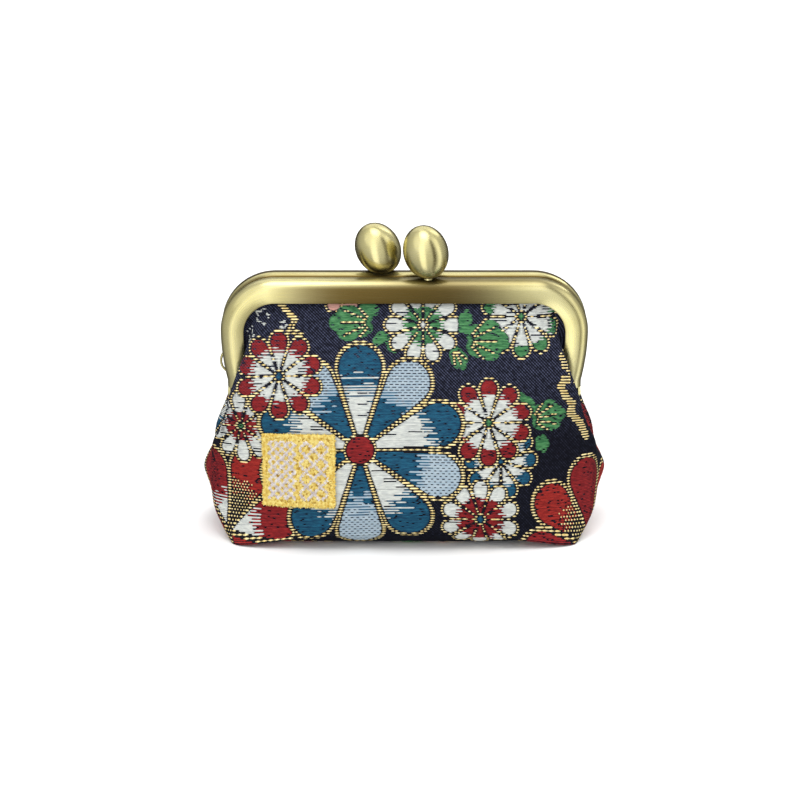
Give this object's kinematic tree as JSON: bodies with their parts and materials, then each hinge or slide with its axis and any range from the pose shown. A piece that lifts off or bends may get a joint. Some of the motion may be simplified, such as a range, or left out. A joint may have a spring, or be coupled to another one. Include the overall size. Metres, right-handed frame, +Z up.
{
  "type": "clasp frame purse",
  "caption": "Small boxed-base purse of floral brocade hung in a hinged brass clasp frame, shut by egg-shaped knobs, with a gold embroidered patch on the front.",
  "frame": {"origin": "middle of the flat base that the purse stands on", "axes": "+X to the viewer's right across the frame, +Y from the front to the back, +Z up"},
  "size_m": [0.1014, 0.0452, 0.0782],
  "materials": {
    "brass": "brushed, aged darker along the edges",
    "brocade": "navy twill ground with flowers in silk and gold weft",
    "gold_thread": "gold satin embroidery"
  },
  "bodies": {
    "root": {"front_frame": "brass", "back_frame": "brass", "front_knob": "brass", "back_knob": "brass", "left_hinge_pin": "brass", "right_hinge_pin": "brass", "front_panel": "brocade", "back_panel": "brocade", "gold_patch": "gold_thread"}
  },
  "joints": []
}
